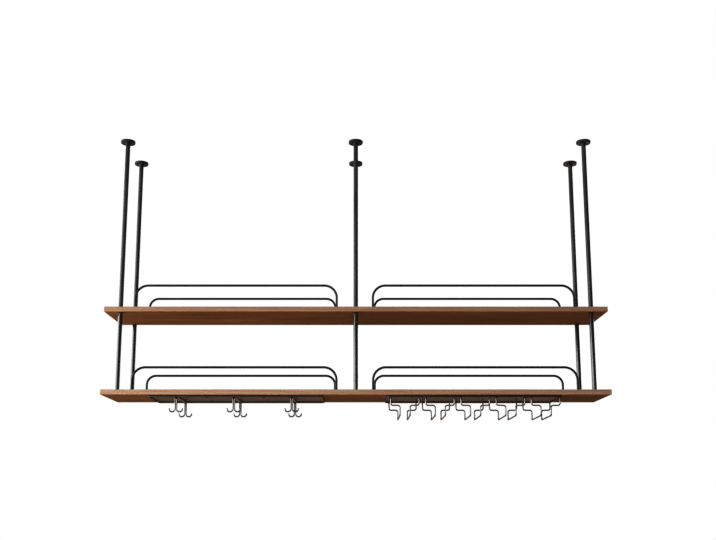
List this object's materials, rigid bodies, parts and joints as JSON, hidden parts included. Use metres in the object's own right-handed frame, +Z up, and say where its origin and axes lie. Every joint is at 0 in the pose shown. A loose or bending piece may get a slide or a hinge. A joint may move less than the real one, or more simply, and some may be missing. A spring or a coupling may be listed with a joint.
{
  "type": "hanging wine glass rack",
  "caption": "Ceiling-hung two-tier shelf rack with guard rails, mug hooks and stemware channels under the lower board.",
  "frame": {"origin": "centre of the ceiling plane, midway between the four corner flanges", "axes": "+Z up into the ceiling, +X along the boards to the right, front faces -Y"},
  "size_m": [1.8, 0.267, 1.0185],
  "materials": {
    "walnut_board": "satin stained, long grain",
    "black_tube": "satin black powder coat",
    "black_flange": "satin black powder coat",
    "black_rail_bar": "satin black powder coat",
    "dark_sheet": "matt dark powder coat",
    "black_wire": "satin black powder coat",
    "steel_fastener": "blackened steel"
  },
  "bodies": {
    "root": {"ceiling_flange_front_centre": "black_flange", "ceiling_flange_front_left": "black_flange", "ceiling_flange_front_right": "black_flange", "ceiling_flange_rear_centre": "black_flange", "ceiling_flange_rear_left": "black_flange", "ceiling_flange_rear_right": "black_flange", "flange_studs": "steel_fastener", "glass_rack_pan": "dark_sheet", "glass_rack_screws": "steel_fastener", "glass_wire_1_left": "black_wire", "glass_wire_1_right": "black_wire", "glass_wire_2_left": "black_wire", "glass_wire_2_right": "black_wire", "glass_wire_3_left": "black_wire", "glass_wire_3_right": "black_wire", "glass_wire_4_left": "black_wire", "glass_wire_4_right": "black_wire", "glass_wire_5_left": "black_wire", "glass_wire_5_right": "black_wire", "lower_board": "walnut_board", "lower_board_bolts": "steel_fastener", "lower_rail_front_left": "black_rail_bar", "lower_rail_front_right": "black_rail_bar", "lower_rail_rear_left": "black_rail_bar", "lower_rail_rear_right": "black_rail_bar", "lower_rail_screws": "steel_fastener", "lower_rod_front_centre": "black_tube", "lower_rod_front_left": "black_tube", "lower_rod_front_right": "black_tube", "lower_rod_rear_centre": "black_tube", "lower_rod_rear_left": "black_tube", "lower_rod_rear_right": "black_tube", "mug_hook_wire_1_left": "black_wire", "mug_hook_wire_1_right": "black_wire", "mug_hook_wire_2_left": "black_wire", "mug_hook_wire_2_right": "black_wire", "mug_hook_wire_3_left": "black_wire", "mug_hook_wire_3_right": "black_wire", "mug_rack_pan": "dark_sheet", "mug_rack_screws": "steel_fastener", "upper_board": "walnut_board", "upper_board_studs": "steel_fastener", "upper_rail_front_left": "black_rail_bar", "upper_rail_front_right": "black_rail_bar", "upper_rail_rear_left": "black_rail_bar", "upper_rail_rear_right": "black_rail_bar", "upper_rail_screws": "steel_fastener", "upper_rod_front_centre": "black_tube", "upper_rod_front_left": "black_tube", "upper_rod_front_right": "black_tube", "upper_rod_rear_centre": "black_tube", "upper_rod_rear_left": "black_tube", "upper_rod_rear_right": "black_tube"}
  },
  "joints": []
}
